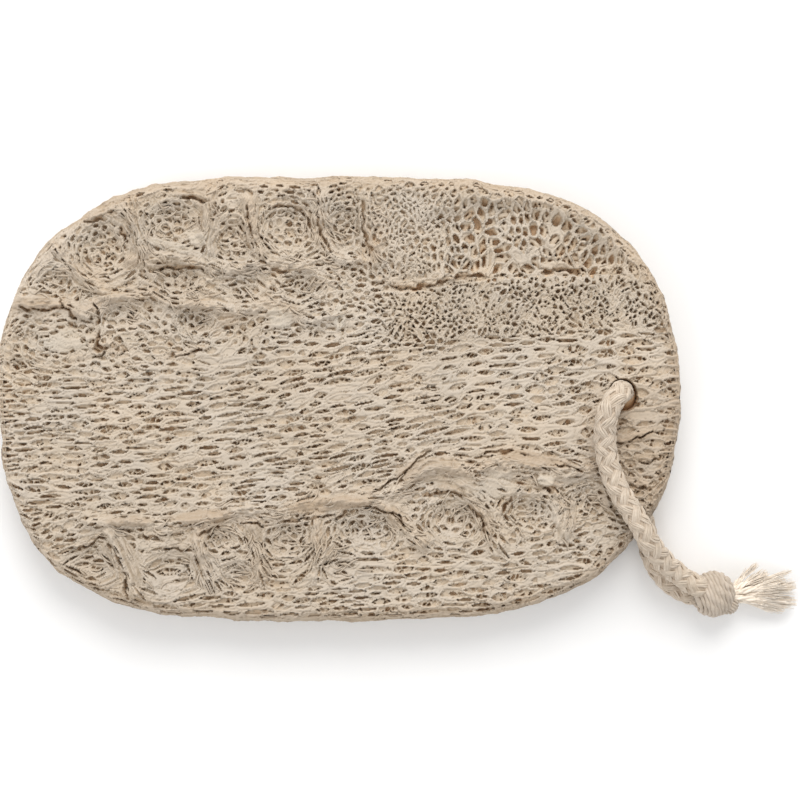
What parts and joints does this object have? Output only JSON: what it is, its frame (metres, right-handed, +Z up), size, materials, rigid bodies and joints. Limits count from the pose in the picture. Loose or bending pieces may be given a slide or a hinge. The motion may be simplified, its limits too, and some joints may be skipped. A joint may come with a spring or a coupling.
{
  "type": "natural loofah sponge",
  "caption": "Flat stadium-shaped bath sponge cut from a dried loofah gourd, with a knotted cotton rope loop through a hole near one end.",
  "frame": {"origin": "on the surface the pad lies on, under the middle of the pad", "axes": "+X along the pad's length towards the end with the rope, +Y across it, +Z up, the gourd's inner face upwards"},
  "size_m": [0.1779, 0.0984, 0.0201],
  "materials": {
    "loofah_fibre": "dry plant fibre, matte",
    "cotton_rope": "round braid of undyed cotton, matte",
    "cotton_knot": "braided undyed cotton drawn tight, matte",
    "cotton_fray": "loose undyed cotton fibre, matte"
  },
  "bodies": {
    "root": {"loofah_pad": "loofah_fibre", "rope_loop": "cotton_rope", "rope_knot": "cotton_knot", "rope_tassel": "cotton_fray"}
  },
  "joints": []
}
